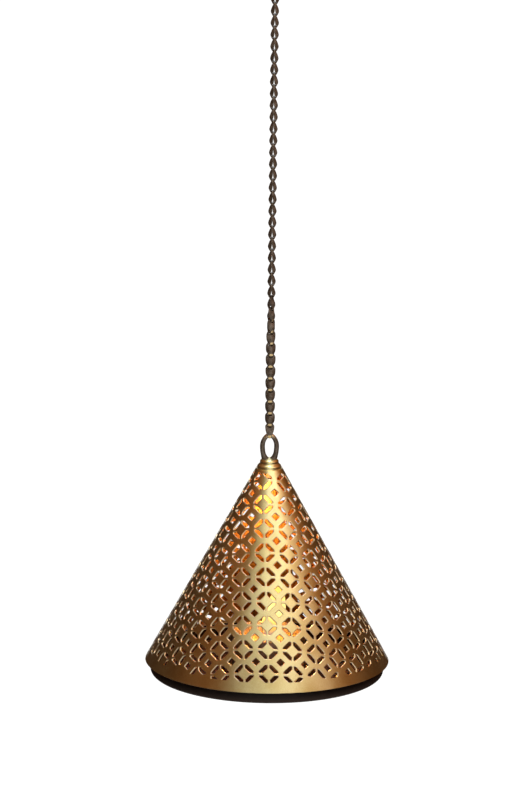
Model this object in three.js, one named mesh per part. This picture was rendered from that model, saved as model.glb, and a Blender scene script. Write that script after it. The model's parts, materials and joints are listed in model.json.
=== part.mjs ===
// A hanging tealight lantern: a pierced cone of sheet brass on a stamped safety chain,
// with a dark push-fit pan in its mouth that carries a tealight.
// Millimetres, +Z up. The origin is the point that a hook carries, the top of the inside
// of the hanging ring, and everything hangs on the Z axis below it. -Y is the front.
import * as THREE from "three";

// Gap left between pieces that touch
const seatGap = 0.3;

// Hanging ring
const hangRingInside = 12;
const hangRingWire = 2;

// Safety chain: each link is a stamped blank folded into a U, its two rings pinched together
const linkCount = 39;
const linkPitch = 5.9;
const linkSheet = 0.5;
const linkWidth = 4.25;
const linkDepth = 3.75;
const linkNeck = 2;
const linkRim = 0.9;
const linkHoleWidth = 3;
const linkPinchGap = 0.2;
// Play between the rim of one link and the fold of the link above, where it rocks
const linkPlay = 0.35;
// The lowest links face the front, and the chain turns a quarter above them
const flatLinks = 7;
const turningLinks = 6;

// Wire eye in the tip
const eyeWire = 2.1;
const eyeWidth = 9.4;
const eyeHeight = 13.2;

// Turned tip
const tipRadius = 4.1;
const tipBeadRadius = 0.75;
const tipBeadSpacing = 2.4;
const tipSpigotDepth = 1.2;
const washerRadius = 3.6;
const washerThickness = 0.8;
const nutAcrossFlats = 5;
const nutHeight = 2.2;

// Shade: the cone is given by its mouth and by the height of its apex over the mouth
const shadeRadius = 60;
const shadeApexHeight = 110;
const shadeSheet = 0.6;
const shadeBand = 5.2;
const shadeTopMargin = 0.4;
// Half of the plain strip at the back, along the mouth, with the soldered seam down its middle
const seamHalfWidth = 18;

// Lattice of the shade, drawn on the flat sheet: a grid of four-slot roundels, nearly square.
// Its rows and its columns are laid a little askew of the sheet's front line.
const latticePitch = 12.2;
const latticeRowTurn = THREE.MathUtils.degToRad(-1.4);
const latticeColumnTurn = THREE.MathUtils.degToRad(2.5);
const bottomCellRise = 9.6;
const bottomCellSide = 0.9;
const slotInnerReach = 2.5;
const slotOuterReach = 4.35;
const slotInnerLength = 3.4;
const slotOuterLength = 5.4;
// A slot that the margins would leave less open than this share isn't cut
const slotLeastShare = 0.4;

// Base pan, pushed into the mouth until its rim wedges this high inside the cone
const panRise = 2.9;
const panSheet = 0.6;
const panDrop = 6.2;
const panCorner = 1.6;
const panSeatRise = 2;
const panSeatMargin = 1.2;
const panBeadHeight = 1.2;
const panBeadWidth = 1;

// Tealight
const cupRadius = 19;
const cupHeight = 17.5;
const cupWall = 0.4;
const waxHeight = 11.5;
const wickRadius = 0.9;
const wickRise = 5;
const wickFootRadius = 6;
const wickFootThickness = 0.6;

// Roundness of the turned pieces and of the bent wire
const largeSides = 36;
const middleSides = 24;
const smallSides = 16;
const wireSides = 6;
const eyeSteps = 26;
const beadSteps = 3;
const cornerSteps = 2;
const seamSteps = 2;

const brass = { color: 0xb89a5e, roughness: 0.36, metalness: 0.95 };
const bronze = { color: 0x4a3a2c, roughness: 0.42, metalness: 0.85 };
const darkSteel = { color: 0x241a14, roughness: 0.6, metalness: 0.5 };
const aluminium = { color: 0xc9c9c6, roughness: 0.35, metalness: 0.9 };
const wax = { color: 0xf1e8d6, roughness: 0.5, metalness: 0 };
const cotton = { color: 0x3a3029, roughness: 0.95, metalness: 0 };

const lantern = new THREE.Group();

function addPiece(name, geometry, finish) {
  const mesh = new THREE.Mesh(geometry, new THREE.MeshStandardMaterial(finish));
  mesh.name = name;
  lantern.add(mesh);
  return mesh;
}

// A solid of revolution about Z from a profile of [radius, height] points.
function turned(profile, sides) {
  const points = profile.map(([radius, height]) => new THREE.Vector2(radius, height));
  return new THREE.LatheGeometry(points, sides).rotateX(Math.PI / 2);
}

// Points on an arc of a profile, from one angle to another.
function arc(radius, height, size, from, to, steps) {
  return Array.from({ length: steps + 1 }, (_, i) => {
    const angle = from + ((to - from) * i) / steps;
    return [radius + size * Math.cos(angle), height + size * Math.sin(angle)];
  });
}

const flatArea = (polygon) => THREE.ShapeUtils.area(polygon.map(([x, y]) => ({ x, y })));

// A convex polygon as a fan of triangles, from the corner that leaves the fullest ones.
function bestFan(ring) {
  const fans = ring.map((_, start) => {
    const turnedRing = [...ring.slice(start), ...ring.slice(0, start)];
    return turnedRing.slice(2).map((corner, i) => [turnedRing[0], turnedRing[i + 1], corner]);
  });
  const slimmest = fans.map((fan) => Math.min(...fan.map(flatArea)));
  return fans[slimmest.indexOf(Math.max(...slimmest))];
}

// A piece of sheet metal from its flat blank. The blank is a list of convex polygons of
// [across, along] points that meet edge to edge. faceOf and backOf place a flat point on the
// two faces of the formed sheet, and every edge that only one polygon has gets a wall.
function formedSheet(polygons, faceOf, backOf, keyOf) {
  const numbers = new Map();
  const flatPoints = [];
  const numberOf = (point) => {
    const key = keyOf(point);
    if (!numbers.has(key)) {
      numbers.set(key, flatPoints.length);
      flatPoints.push(point);
    }
    return numbers.get(key);
  };
  const triangles = [];
  for (const polygon of polygons) {
    const ring = flatArea(polygon) < 0 ? [...polygon].reverse() : polygon;
    triangles.push(...bestFan(ring).map((corners) => corners.map(numberOf)));
  }
  const edges = new Set();
  for (const [a, b, c] of triangles) {
    for (const [from, to] of [[a, b], [b, c], [c, a]]) edges.add(`${from} ${to}`);
  }
  const back = flatPoints.length;
  const index = [];
  for (const [a, b, c] of triangles) index.push(a, b, c, back + a, back + c, back + b);
  for (const edge of edges) {
    const [a, b] = edge.split(" ").map(Number);
    if (edges.has(`${b} ${a}`)) continue;
    index.push(a, back + a, back + b, a, back + b, b);
  }
  const placed = [...flatPoints.map(faceOf), ...flatPoints.map(backOf)];
  const geometry = new THREE.BufferGeometry().setFromPoints(placed);
  geometry.setIndex(index);
  geometry.computeVertexNormals();
  return geometry;
}

// The middle of a link's rim rides this high over what it hangs in.
const linkSeat = linkRim / 2 + linkPlay;

// Hanging ring, closed round wire in the XZ plane.
const hangRingRadius = (hangRingInside + hangRingWire) / 2;
const hangRingBottom = -hangRingInside;
const hangRing = new THREE.TorusGeometry(hangRingRadius, hangRingWire / 2, wireSides, middleSides);
addPiece("hanging_ring", hangRing.rotateX(Math.PI / 2), bronze).position.z = -hangRingInside / 2;

// One chain link, drawn about the middle of its pinched rims. The blank runs from one ring,
// down one plate, round the fold and up the other plate to the second ring. Its stations are
// the places along the blank where its width or its bend changes.
function linkGeometry() {
  const foldMiddle = linkDepth / 2;
  const foldHeight = -linkPitch - linkSeat + foldMiddle - linkSheet;
  const pinch = linkPinchGap / 2;
  const rimTop = linkRim / 2;
  const inside = foldMiddle - linkSheet;
  const diagonal = Math.SQRT1_2;
  const half = [
    { back: [pinch, rimTop], face: [pinch + linkSheet, rimTop], width: linkHoleWidth },
    { back: [pinch, -rimTop], face: [pinch + linkSheet, -rimTop], width: linkWidth, hole: true },
    { back: [inside, foldHeight], face: [foldMiddle, foldHeight], width: linkWidth, hole: true },
    {
      back: [inside * diagonal, foldHeight - inside * diagonal],
      face: [foldMiddle * diagonal, foldHeight - foldMiddle * diagonal],
      width: linkNeck,
    },
  ];
  const bottom = {
    back: [0, foldHeight - inside],
    face: [0, foldHeight - foldMiddle],
    width: linkNeck,
  };
  const mirrored = ({ back, face, ...rest }) => ({
    back: [-back[0], back[1]],
    face: [-face[0], face[1]],
    ...rest,
  });
  const stations = [...half, bottom, ...half.map(mirrored).reverse()];
  const edgeOf = (along) => {
    const { width, hole } = stations[along];
    const across = hole ? [-width, -linkHoleWidth, linkHoleWidth, width] : [-width, width];
    return across.map((x) => [x / 2, along]);
  };
  const polygons = [];
  for (let along = 1; along < stations.length; along++) {
    const upper = edgeOf(along - 1);
    const lower = edgeOf(along).reverse();
    if (stations[along - 1].hole && stations[along].hole) {
      polygons.push([upper[0], upper[1], lower[2], lower[3]]);
      polygons.push([upper[2], upper[3], lower[0], lower[1]]);
    } else {
      polygons.push([...upper, ...lower]);
    }
  }
  const placed = (side) => ([x, along]) => new THREE.Vector3(x, ...stations[along][side]);
  const keyOf = ([x, along]) => `${x.toFixed(4)} ${along}`;
  return formedSheet(polygons, placed("face"), placed("back"), keyOf);
}

const topLinkHeight = hangRingBottom + linkSeat;
const linkShape = linkGeometry();
for (let number = 1; number <= linkCount; number++) {
  const fromBottom = linkCount - number;
  const turnSteps = THREE.MathUtils.clamp(fromBottom - flatLinks + 1, 0, turningLinks);
  const link = addPiece(`chain_link_${String(number).padStart(2, "0")}`, linkShape, bronze);
  link.position.z = topLinkHeight - (number - 1) * linkPitch;
  link.rotation.z = ((Math.PI / 2) * turnSteps) / turningLinks;
}

// Places below the chain, each from the one above it
const lastFold = topLinkHeight - linkCount * linkPitch - linkSeat;
const eyeTop = lastFold + seatGap + eyeWire;
const tipHeight = eyeTop - eyeHeight;
const apexHeight = tipHeight + (tipRadius * shadeApexHeight) / shadeRadius;
const mouthHeight = apexHeight - shadeApexHeight;

// The cone
const slant = Math.hypot(shadeRadius, shadeApexHeight);
const coneSin = shadeRadius / slant;
const coneCos = shadeApexHeight / slant;
const coneRadius = (height) => ((apexHeight - height) * shadeRadius) / shadeApexHeight;
const wallAcross = shadeSheet / coneCos;

// Places inside the tip, each from the one above it
const neckSlant = (apexHeight - tipHeight) / coneCos + 2 * tipBeadSpacing;
const neckHeight = apexHeight - neckSlant * coneCos;
const spigotBottom = neckHeight - tipSpigotDepth;
const washerTop = spigotBottom - seatGap;
const nutTop = washerTop - washerThickness - seatGap;
const shankEnd = nutTop - nutHeight - eyeWire / 2;

// Wire eye: a shank through the tip, and an oval loop that is bent round until it nearly meets
// the shank again. Each quarter of the loop is a curve with these pulls on its two handles: a round
// flank, and a crown that is flatter than round, so that the lantern can rock in the last link.
const flankPull = 0.5523;
const crownPull = 0.8;

function eyeGeometry() {
  const reach = (eyeWidth - eyeWire) / 2;
  const crown = eyeTop - eyeWire / 2;
  const foot = tipHeight + eyeWire / 2;
  const flank = crown - reach;
  const shoulder = flank + flankPull * reach;
  const brow = crownPull * reach;
  const at = (x, z) => new THREE.Vector3(x, 0, z);
  const bend = at(0, foot);
  const close = at(-eyeWire - seatGap, foot + seatGap);
  const wire = new THREE.CurvePath();
  const straight = (from, to) => wire.add(new THREE.LineCurve3(from, to));
  const bent = (...handles) => wire.add(new THREE.CubicBezierCurve3(...handles));
  straight(at(0, shankEnd), bend);
  bent(bend, at(0, foot + eyeWire), at(reach, flank - reach), at(reach, flank));
  bent(at(reach, flank), at(reach, shoulder), at(brow, crown), at(0, crown));
  bent(at(0, crown), at(-brow, crown), at(-reach, shoulder), at(-reach, flank));
  bent(at(-reach, flank), at(-reach, flank - reach), at(-reach, close.z), close);
  const section = new THREE.Shape().absarc(0, 0, eyeWire / 2, 0, 2 * Math.PI);
  const curveSegments = wireSides / 2 + 1;
  return new THREE.ExtrudeGeometry(section, { extrudePath: wire, steps: eyeSteps, curveSegments });
}
addPiece("top_eye", eyeGeometry(), bronze);

// Turned tip: two beads over a flush neck, and a spigot inside the cone that the sheet hangs on.
const shankHole = eyeWire / 2 + seatGap;
const spigotInset = wallAcross + seatGap / coneCos;
const firstBead = tipHeight - tipBeadRadius;
const secondBead = firstBead - tipBeadSpacing;
const bead = (height) => {
  const middle = coneRadius(height) - tipBeadRadius / 2;
  return arc(middle, height, tipBeadRadius, -Math.PI / 2, Math.PI / 2, beadSteps);
};
const tipProfile = [
  [shankHole, spigotBottom],
  [coneRadius(spigotBottom) - spigotInset, spigotBottom],
  [coneRadius(neckHeight) - spigotInset, neckHeight],
  [coneRadius(neckHeight), neckHeight],
  ...bead(secondBead),
  ...bead(firstBead),
  [shankHole, tipHeight],
  [shankHole, spigotBottom],
];
addPiece("tip_ferrule", turned(tipProfile, middleSides), brass);

const washerProfile = [
  [shankHole, washerTop - washerThickness],
  [washerRadius, washerTop - washerThickness],
  [washerRadius, washerTop],
  [shankHole, washerTop],
  [shankHole, washerTop - washerThickness],
];
addPiece("retaining_washer", turned(washerProfile, smallSides), brass);

const hexagonSides = 6;
const nutRadius = nutAcrossFlats / 2 / Math.cos(Math.PI / hexagonSides);
const nutOutline = new THREE.Shape().setFromPoints(
  Array.from({ length: hexagonSides }, (_, i) => {
    const angle = (2 * Math.PI * i) / hexagonSides;
    return new THREE.Vector2(nutRadius * Math.cos(angle), nutRadius * Math.sin(angle));
  }),
);
nutOutline.holes.push(new THREE.Path().absarc(0, 0, shankHole, 0, 2 * Math.PI, true));
const nut = new THREE.ExtrudeGeometry(nutOutline, {
  depth: nutHeight,
  bevelEnabled: false,
  curveSegments: smallSides / 2,
});
addPiece("retaining_nut", nut, brass).position.z = nutTop - nutHeight;

// Shade. A flat point is [angle about the apex, -distance from the apex], as the sheet is seen
// from outside with its front generator upright. The whole sheet spans sheetAngle, and its two
// edges meet at the back, where they are soldered.
const sheetAngle = 2 * Math.PI * coneSin;
const seamEdge = sheetAngle / 2;
const sheetTop = -(neckSlant + seatGap);
const patternTop = -(neckSlant + tipSpigotDepth / coneCos + shadeTopMargin);
const patternBottom = -(slant - shadeBand);
const patternSide = seamEdge - seamHalfWidth / slant;

function onCone([angle, below], depth) {
  const turn = angle / coneSin;
  const radius = -below * coneSin - depth * coneCos;
  const height = apexHeight + below * coneCos - depth * coneSin;
  return new THREE.Vector3(radius * Math.sin(turn), -radius * Math.cos(turn), height);
}

// What is left of a convex polygon on one side of a straight line of the flat chart.
function clipped(polygon, axis, limit, sign) {
  const kept = [];
  polygon.forEach((point, i) => {
    const next = polygon[(i + 1) % polygon.length];
    const here = sign * (limit - point[axis]);
    const there = sign * (limit - next[axis]);
    if (here >= 0) kept.push(point);
    if (here * there < 0) {
      const crossing = point.map((value, k) => value + ((next[k] - value) * here) / (here - there));
      crossing[axis] = limit;
      kept.push(crossing);
    }
  });
  return kept;
}

// Extra points along the pattern's upper edge, where the cone is tight, so that it stays round.
function roundedTop(polygon) {
  const step = sheetAngle / middleSides;
  const grid = Array.from({ length: middleSides + 1 }, (_, k) => k * step - seamEdge);
  return polygon.flatMap((point, i) => {
    const next = polygon[(i + 1) % polygon.length];
    if (point[1] !== patternTop || next[1] !== patternTop) return [point];
    const between = grid.filter((angle) => (angle - point[0]) * (angle - next[0]) < 0);
    if (next[0] < point[0]) between.reverse();
    return [point, ...between.map((angle) => [angle, patternTop])];
  });
}

function inPattern(polygon) {
  let kept = clipped(polygon, 0, patternSide, 1);
  kept = clipped(kept, 0, -patternSide, -1);
  kept = clipped(kept, 1, patternTop, 1);
  kept = clipped(kept, 1, patternBottom, -1);
  return roundedTop(kept);
}

// A triangle strip between two rows of flat points that run the same way along one axis.
function strip(first, second, axis) {
  const polygons = [];
  let i = 0;
  let j = 0;
  const reached = (row, k) => (k + 1 < row.length ? row[k + 1][axis] : Infinity);
  while (i + 1 < first.length || j + 1 < second.length) {
    if (reached(first, i) <= reached(second, j)) {
      polygons.push([first[i], first[i + 1], second[j]]);
      i += 1;
    } else {
      polygons.push([first[i], second[j], second[j + 1]]);
      j += 1;
    }
  }
  return polygons;
}

// The shapes that one cell of the lattice repeats, about the middle of its roundel: the four slots,
// and the solid metal round them as convex tiles that meet edge to edge.
function latticeCell() {
  const middle = new THREE.Vector2();
  const corner = (reach, across) => new THREE.Vector2(reach, across).rotateAround(middle, Math.PI / 4);
  const mirrored = (point, x, y) => new THREE.Vector2(point.x * x, point.y * y);
  const inNext = (point, x, y) => new THREE.Vector2(point.x + x * latticePitch, point.y + y * latticePitch);
  const inner = [-1, 1].map((side) => corner(slotInnerReach, (side * slotInnerLength) / 2));
  const outer = [-1, 1].map((side) => corner(slotOuterReach, (side * slotOuterLength) / 2));
  const quadrants = [[1, 1], [-1, 1], [-1, -1], [1, -1]];

  const slot = [inner[0], outer[0], outer[1], inner[1]];
  const slots = quadrants.map(([x, y]) => slot.map((point) => mirrored(point, x, y)));

  // The roundel's middle, the bridges to the next roundels, and the field between four of them
  const rightFirst = ([x, y], pair) => (x === y ? pair : [...pair].reverse());
  const boss = quadrants.flatMap(([x, y]) => {
    const pair = rightFirst([x, y], inner);
    return pair.map((point) => mirrored(point, x, y));
  });
  const nearSide = [inner[0], outer[0]];
  const farSide = nearSide.map((point) => inNext(mirrored(point, -1, 1), 1, 0)).reverse();
  const upperEdge = [...nearSide, ...farSide];
  const lowerEdge = upperEdge.map((point) => mirrored(point, 1, -1)).reverse();
  const acrossBridge = [...upperEdge, ...lowerEdge];
  const alongBridge = acrossBridge.map((point) => new THREE.Vector2(point.y, point.x));
  const field = [[0, 0], [1, 0], [1, 1], [0, 1]].flatMap(([column, row]) => {
    const [x, y] = [1 - 2 * column, 1 - 2 * row];
    const pair = rightFirst([x, y], [...outer].reverse());
    return pair.map((point) => inNext(mirrored(point, x, y), column, row));
  });
  return { slots, tiles: [boss, acrossBridge, alongBridge, field] };
}

function shadeGeometry() {
  const { slots, tiles } = latticeCell();
  const alongRow = new THREE.Vector2(Math.cos(latticeRowTurn), Math.sin(latticeRowTurn));
  const upColumn = new THREE.Vector2(-Math.sin(latticeColumnTurn), Math.cos(latticeColumnTurn));
  const inChart = (point, column, row) => {
    const flat = new THREE.Vector2(bottomCellSide, bottomCellRise - slant);
    flat.addScaledVector(alongRow, point.x + column * latticePitch);
    flat.addScaledVector(upColumn, point.y + row * latticePitch);
    return [Math.atan2(flat.x, -flat.y), -flat.length()];
  };
  // Shapes past the middle of the gap that the flat sheet leaves open round the apex aren't on it
  const offSheet = (polygon) => polygon.some(([angle]) => Math.abs(angle) > (seamEdge + Math.PI) / 2);
  const share = (open, cut) => Math.abs(flatArea(open) / flatArea(cut));
  const polygons = [];
  const reachInCells = Math.ceil((slant + latticePitch) / latticePitch);
  for (let row = -1; row <= reachInCells; row++) {
    for (let column = -reachInCells; column <= reachInCells; column++) {
      const onSheet = (shapes) =>
        shapes
          .map((shape) => shape.map((point) => inChart(point, column, row)))
          .filter((shape) => !offSheet(shape));
      polygons.push(...onSheet(tiles).map(inPattern));
      const uncut = onSheet(slots).filter((slot) => share(inPattern(slot), slot) < slotLeastShare);
      polygons.push(...uncut.map(inPattern));
    }
  }
  const lattice = polygons.filter((polygon) => polygon.length > 2 && flatArea(polygon) !== 0);

  // The plain margins round the lattice: the band, the neck and the soldered seam.
  const evenRow = (below, count) =>
    Array.from({ length: count + 1 }, (_, i) => [seamEdge * ((2 * i) / count - 1), below]);
  const seamLines = Array.from({ length: seamSteps + 1 }, (_, i) =>
    THREE.MathUtils.lerp(patternSide, seamEdge, i / seamSteps),
  );
  const ends = [-1, 1].flatMap((side) => seamLines.map((angle) => side * angle));
  const corners = ends.flatMap((angle) => [[angle, patternTop], [angle, patternBottom]]);
  const onLine = (axis, limit) => {
    const found = new Map();
    for (const point of [...lattice.flat(), ...corners]) {
      if (point[axis] === limit) found.set(point[1 - axis].toFixed(7), point);
    }
    return [...found.values()].sort((a, b) => a[1 - axis] - b[1 - axis]);
  };
  const band = strip(onLine(1, patternBottom), evenRow(-slant, largeSides), 0);
  const neck = strip(onLine(1, patternTop), evenRow(sheetTop, middleSides), 0);
  const seam = [-1, 1].flatMap((side) =>
    seamLines
      .slice(1)
      .flatMap((line, i) => strip(onLine(0, side * seamLines[i]), onLine(0, side * line), 1)),
  );
  const keyOf = ([angle, below]) => {
    const wrapped = angle === seamEdge ? -seamEdge : angle;
    return `${wrapped.toFixed(7)} ${below.toFixed(5)}`;
  };
  const outside = (point) => onCone(point, 0);
  const inside = (point) => onCone(point, shadeSheet);
  return formedSheet([...lattice, ...band, ...neck, ...seam], outside, inside, keyOf);
}
addPiece("shade", shadeGeometry(), brass);

// Base pan: pressed sheet, wedged in the mouth where its wall meets the cone, with a raised
// seat and a low bead that keeps the tealight in the middle.
const panRimHeight = mouthHeight + panRise;
const panRadius = coneRadius(panRimHeight) - wallAcross - seatGap / coneCos;
const panBottom = mouthHeight - panDrop;
const panSeat = panBottom + panSheet + panSeatRise;
const panInner = panCorner - panSheet;
const beadInner = cupRadius + seatGap;
const beadOuter = beadInner + panBeadWidth;
const panSeatRadius = beadOuter + panSeatMargin;
const panProfile = [
  [0, panBottom + panSeatRise],
  [panSeatRadius, panBottom + panSeatRise],
  [panSeatRadius + panSeatRise, panBottom],
  ...arc(panRadius - panCorner, panBottom + panCorner, panCorner, -Math.PI / 2, 0, cornerSteps),
  [panRadius, panRimHeight],
  [panRadius - panSheet, panRimHeight],
  ...arc(panRadius - panCorner, panBottom + panCorner, panInner, 0, -Math.PI / 2, cornerSteps),
  [panSeatRadius + panSeatRise, panBottom + panSheet],
  [panSeatRadius, panSeat],
  [beadOuter, panSeat],
  [(beadInner + beadOuter) / 2, panSeat + panBeadHeight],
  [beadInner, panSeat],
  [0, panSeat],
];
addPiece("base_pan", turned(panProfile, largeSides), darkSteel);

// Tealight: a drawn cup, the wax poured round the wick, and the wick's crimped foot.
const cupBottom = panSeat + seatGap;
const cupFloor = cupBottom + cupWall;
const cupProfile = [
  [0, cupBottom],
  [cupRadius, cupBottom],
  [cupRadius, cupBottom + cupHeight],
  [cupRadius - cupWall, cupBottom + cupHeight],
  [cupRadius - cupWall, cupFloor],
  [0, cupFloor],
];
addPiece("tealight_cup", turned(cupProfile, middleSides), aluminium);

const waxBottom = cupFloor + seatGap;
const footTop = waxBottom + wickFootThickness;
const waxTop = waxBottom + waxHeight;
const waxRadius = cupRadius - cupWall - seatGap;
const wickHole = wickRadius + seatGap;
const waxProfile = [
  [wickFootRadius + seatGap, waxBottom],
  [waxRadius, waxBottom],
  [waxRadius, waxTop],
  [wickHole, waxTop],
  [wickHole, footTop + seatGap],
  [wickFootRadius + seatGap, footTop + seatGap],
  [wickFootRadius + seatGap, waxBottom],
];
addPiece("tealight_wax", turned(waxProfile, middleSides), wax);

const footProfile = [
  [0, waxBottom],
  [wickFootRadius, waxBottom],
  [wickFootRadius, footTop],
  [0, footTop],
];
addPiece("wick_foot", turned(footProfile, smallSides), aluminium);

const wickTop = waxTop + wickRise;
const wickProfile = [
  [0, footTop + seatGap],
  [wickRadius, footTop + seatGap],
  [wickRadius, wickTop - wickRadius],
  [0, wickTop],
];
addPiece("tealight_wick", turned(wickProfile, wireSides), cotton);

export default lantern;
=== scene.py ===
import json
import math

import bmesh
import bpy
from mathutils import Matrix, Vector
from mathutils.geometry import interpolate_bezier


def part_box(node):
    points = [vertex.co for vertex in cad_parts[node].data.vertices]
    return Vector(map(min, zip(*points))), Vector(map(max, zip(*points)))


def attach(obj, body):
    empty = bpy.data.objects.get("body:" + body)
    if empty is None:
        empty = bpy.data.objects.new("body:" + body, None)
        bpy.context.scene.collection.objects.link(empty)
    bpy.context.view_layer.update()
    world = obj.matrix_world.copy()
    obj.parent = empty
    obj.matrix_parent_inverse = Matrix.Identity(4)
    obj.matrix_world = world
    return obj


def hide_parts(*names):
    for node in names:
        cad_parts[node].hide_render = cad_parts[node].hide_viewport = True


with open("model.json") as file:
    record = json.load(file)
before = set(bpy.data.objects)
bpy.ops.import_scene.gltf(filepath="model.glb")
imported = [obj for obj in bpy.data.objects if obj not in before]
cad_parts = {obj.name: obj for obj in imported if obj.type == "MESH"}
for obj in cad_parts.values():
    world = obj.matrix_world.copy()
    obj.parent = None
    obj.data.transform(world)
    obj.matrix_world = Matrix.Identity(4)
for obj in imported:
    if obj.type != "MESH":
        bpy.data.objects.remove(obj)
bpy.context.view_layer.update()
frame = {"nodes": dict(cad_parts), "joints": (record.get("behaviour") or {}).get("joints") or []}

# Hanging ring
# A closed ring of round wire, browned like the chain, that slips over a hook or a nail.
# The wire is bent round, its ends are welded, and the first link of the chain folds through it.
mm = 0.001
wire_sides = 20
ring_steps = 64


class Socket:
    """A value in a finish. Sums, differences and products of sockets add the Math nodes for them."""

    def __init__(self, tree, link=None):
        self.tree = tree
        self.link = link

    def node(self, kind, settings=None, inputs=None, out=0):
        """Adds a node, sets it up, fills or links its sockets, and gives back one of its outputs."""
        made = self.tree.nodes.new(kind)
        for name, value in (settings or {}).items():
            if name == "stops":
                ramp = made.color_ramp.elements
                for place, _ in value[2:]:
                    ramp.new(place)
                for element, (place, colour) in zip(ramp, value):
                    element.position = place
                    element.color = (*colour, 1)
            else:
                setattr(made, name, value)
        for name, value in (inputs or {}).items():
            if isinstance(value, Socket):
                self.tree.links.new(value.link, made.inputs[name])
            else:
                made.inputs[name].default_value = value
        return Socket(self.tree, made.outputs[out] if made.outputs else None)

    def maths(self, operation, *values):
        """A Math node on sockets and numbers."""
        return self.node("ShaderNodeMath", {"operation": operation}, dict(enumerate(values)))

    def __add__(self, other):
        return self.maths("ADD", self, other)

    def __radd__(self, other):
        return self.maths("ADD", other, self)

    def __sub__(self, other):
        return self.maths("SUBTRACT", self, other)

    def __rsub__(self, other):
        return self.maths("SUBTRACT", other, self)

    def __mul__(self, other):
        return self.maths("MULTIPLY", self, other)

    def __rmul__(self, other):
        return self.maths("MULTIPLY", other, self)

    def between(self, low, high):
        """0 up to low, 1 from high on, and smooth from one to the other."""
        settings = {"interpolation_type": "SMOOTHSTEP"}
        inputs = {"Value": self, "From Min": low, "From Max": high}
        return self.node("ShaderNodeMapRange", settings, inputs)

    def tint(self, none, full):
        """One colour where the value is 0, another where it is 1."""
        colours = [(*c, 1) if isinstance(c, tuple) else c for c in (none, full)]
        inputs = {0: self, 6: colours[0], 7: colours[1]}
        return self.node("ShaderNodeMix", {"data_type": "RGBA"}, inputs, out=2)

    def noise(self, place, size, detail=2.0):
        """Cloudy noise whose patches are about this many metres across."""
        inputs = {"Vector": place, "Scale": 1 / size, "Detail": detail}
        return self.node("ShaderNodeTexNoise", None, inputs)

    def bump(self, height, depth):
        """A surface raised by up to this many metres where the height is 1."""
        return self.node("ShaderNodeBump", None, {"Height": height, "Distance": depth})


def new_finish(name):
    """An empty finish: its material, and the socket that its nodes start from."""
    material = bpy.data.materials.new(name)
    material.use_nodes = True
    material.node_tree.nodes.clear()
    return material, Socket(material.node_tree)


def surface(start, **inputs):
    """Closes a finish with its shader. A socket's name is written with _ for each space."""
    named = {name.replace("_", " "): value for name, value in inputs.items()}
    shader = start.node("ShaderNodeBsdfPrincipled", None, named)
    start.node("ShaderNodeOutputMaterial", None, {"Surface": shader})


def browned_bronze():
    """Chemically browned bronze: a dull grey-brown skin, rubbed to bare metal where it wears."""
    material, start = new_finish("browned_bronze")
    place = start.node("ShaderNodeTexCoord", out="Object")
    worn = start.node("ShaderNodeAttribute", {"attribute_name": "worn"}, out="Fac")
    patches = start.noise(place, 2.2 * mm, 3)
    grain = start.noise(place, 0.35 * mm)
    lightened = (worn * (0.55 + patches)).between(0.25, 0.8)
    brown = patches.between(0.35, 0.7).tint((0.1, 0.082, 0.058), (0.2, 0.172, 0.135))
    surface(
        start,
        Base_Color=lightened.tint(brown, (0.74, 0.58, 0.32)),
        Metallic=0.3 + 0.7 * lightened,
        Roughness=0.36 + 0.16 * grain - 0.1 * lightened,
        Normal=start.bump(grain, 0.02 * mm),
    )
    return material


def smoothed(form, name, sharp):
    """A mesh of a finished bmesh, smooth but for the edges that turn by more than the sharp angle."""
    mesh = bpy.data.meshes.new(name)
    form.to_mesh(mesh)
    form.free()
    mesh.shade_smooth()
    mesh.set_sharp_from_angle(angle=sharp)
    return mesh


def set_piece(name, mesh, finishes, body, slot, *nodes):
    """Puts a mesh on the lantern, on the body that carries it and in place of its plain solids."""
    for finish in finishes:
        mesh.materials.append(finish)
    piece = bpy.data.objects.new(name, mesh)
    bpy.context.scene.collection.objects.link(piece)
    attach(piece, body)
    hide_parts(*nodes)
    return piece


bronze = browned_bronze()
soft_edge = math.radians(40)
ring_low, ring_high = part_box("hanging_ring")
ring_wire = (ring_high.y - ring_low.y) / 2
ring_reach = (ring_high.x - ring_low.x) / 2 - ring_wire
ring_middle = (ring_low + ring_high) / 2

ring = bmesh.new()
section = Matrix.Translation((ring_reach, 0, 0)) @ Matrix.Rotation(math.pi / 2, 4, "X")
bmesh.ops.create_circle(ring, radius=ring_wire, segments=wire_sides, matrix=section)
bmesh.ops.spin(
    ring,
    geom=ring.edges[:],
    cent=(0, 0, 0),
    axis=(0, 0, 1),
    angle=2 * math.pi,
    steps=ring_steps,
    use_merge=True,
)
bmesh.ops.rotate(ring, verts=ring.verts, matrix=Matrix.Rotation(math.pi / 2, 3, "X"))
bmesh.ops.translate(ring, verts=ring.verts, vec=ring_middle)
bmesh.ops.recalc_face_normals(ring, faces=ring.faces)
ring_mesh = smoothed(ring, "ring_wire", soft_edge)
set_piece("ring_wire", ring_mesh, [bronze], "hanger", "chain_bronze", "hanging_ring")

# Chain
# Each link is stamped from bronze sheet as two rings on a narrow neck, folded at the neck into a U,
# and closed with its rings pinched together round the fold of the link above. The folds rub bright.
link_sheet = 0.5 * mm
link_edge = 0.12 * mm
link_pinch = 0.35 * mm
link_fold_height = -5.55 * mm
link_fold_radius = 1.4 * mm
link_fold_steps = 4
link_fold_taper = 0.2
ring_wear = 0.3
rim_wear = 0.1
wire_hole = 1.3 * mm
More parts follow.
